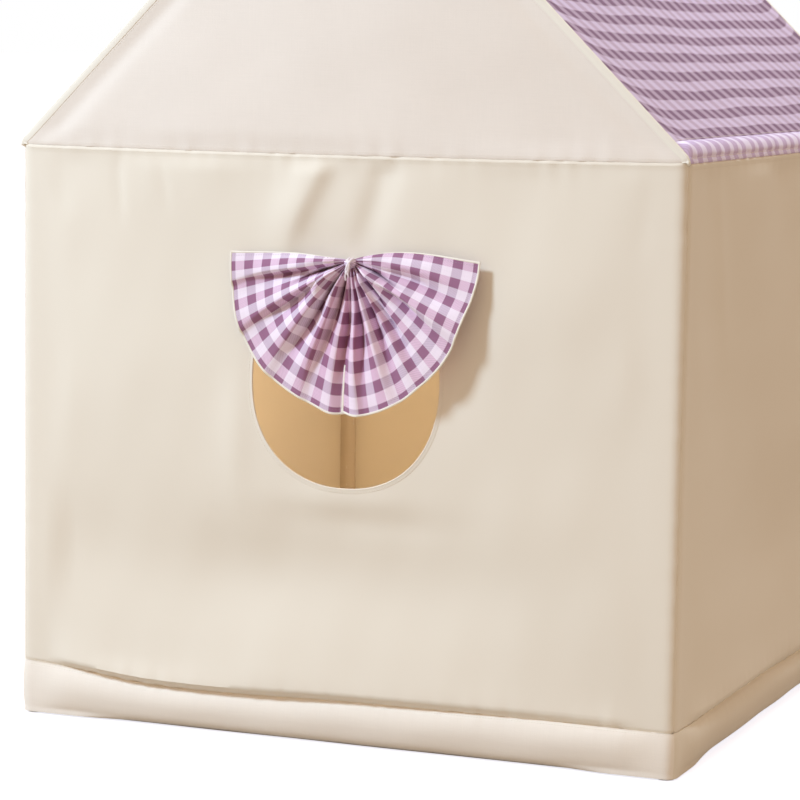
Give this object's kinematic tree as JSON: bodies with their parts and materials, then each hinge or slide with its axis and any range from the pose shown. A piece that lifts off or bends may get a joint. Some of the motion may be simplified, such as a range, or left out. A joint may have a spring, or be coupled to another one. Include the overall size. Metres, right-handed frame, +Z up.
{
  "type": "kids play tent",
  "caption": "House-shaped play tent: cotton cover and gingham roof on plug-in poles, with a gathered fan curtain over a round window and tied curtains in an arched doorway.",
  "frame": {"origin": "on the floor, under the middle of the tent's overall box", "axes": "+X across the tent, +Y along the ridge from the window gable to the door gable, +Z up"},
  "size_m": [1, 1.2355, 1.328],
  "materials": {
    "canvas": "plain woven cotton",
    "cream_tape": "folded cotton tape",
    "gingham": "lilac and white gingham",
    "pole_plastic": "extruded",
    "connector_plastic": "moulded, satin",
    "press_stud": "moulded"
  },
  "bodies": {
    "tent": {"base_connector_door_left": "connector_plastic", "base_connector_door_right": "connector_plastic", "base_connector_window_left": "connector_plastic", "base_connector_window_right": "connector_plastic", "base_rail_door": "pole_plastic", "base_rail_left_end": "pole_plastic", "base_rail_left_plug": "pole_plastic", "base_rail_right_end": "pole_plastic", "base_rail_right_plug": "pole_plastic", "base_rail_window": "pole_plastic", "door_binding": "cream_tape", "door_gable": "canvas", "door_gable_piping": "cream_tape", "door_hem": "canvas", "door_stud_left": "press_stud", "door_stud_right": "press_stud", "door_wall": "canvas", "eave_binding_left": "gingham", "eave_binding_right": "gingham", "eave_connector_door_left": "connector_plastic", "eave_connector_door_right": "connector_plastic", "eave_connector_window_left": "connector_plastic", "eave_connector_window_right": "connector_plastic", "eave_rail_left_end": "pole_plastic", "eave_rail_left_plug": "pole_plastic", "eave_rail_right_end": "pole_plastic", "eave_rail_right_plug": "pole_plastic", "gable_rail_door": "pole_plastic", "gable_rail_window": "pole_plastic", "left_hem": "canvas", "left_wall": "canvas", "post_door_left": "pole_plastic", "post_door_right": "pole_plastic", "post_window_left": "pole_plastic", "post_window_right": "pole_plastic", "rafter_door_left": "pole_plastic", "rafter_door_right": "pole_plastic", "rafter_window_left": "pole_plastic", "rafter_window_right": "pole_plastic", "ridge_connector_door": "connector_plastic", "ridge_connector_window": "connector_plastic", "ridge_pole_end": "pole_plastic", "ridge_pole_plug": "pole_plastic", "right_hem": "canvas", "right_wall": "canvas", "roof_left": "gingham", "roof_right": "gingham", "window_binding": "cream_tape", "window_gable": "canvas", "window_gable_piping": "cream_tape", "window_hem": "canvas", "window_wall": "canvas"},
    "window_curtain_flap": {"curtain_tie": "cream_tape", "window_curtain": "gingham"},
    "door_curtain_left_flap": {"door_curtain_left": "gingham", "door_tieback_left": "cream_tape"},
    "door_curtain_right_flap": {"door_curtain_right": "gingham", "door_tieback_right": "cream_tape"}
  },
  "joints": [
    {"name": "window_curtain_lift", "type": "hinge", "parent": "tent", "child": "window_curtain_flap", "pos_m": [0.02, -0.58335, 0.6979], "axis": [-1, 0, 0], "range_deg": [0, 80]},
    {"name": "door_curtain_left_swing", "type": "hinge", "parent": "tent", "child": "door_curtain_left_flap", "pos_m": [-0.147, 0.61475, 0.796], "axis": [-1, 0, 0], "range_deg": [0, 60]},
    {"name": "door_curtain_right_swing", "type": "hinge", "parent": "tent", "child": "door_curtain_right_flap", "pos_m": [0.147, 0.61475, 0.796], "axis": [-1, 0, 0], "range_deg": [0, 60]}
  ]
}
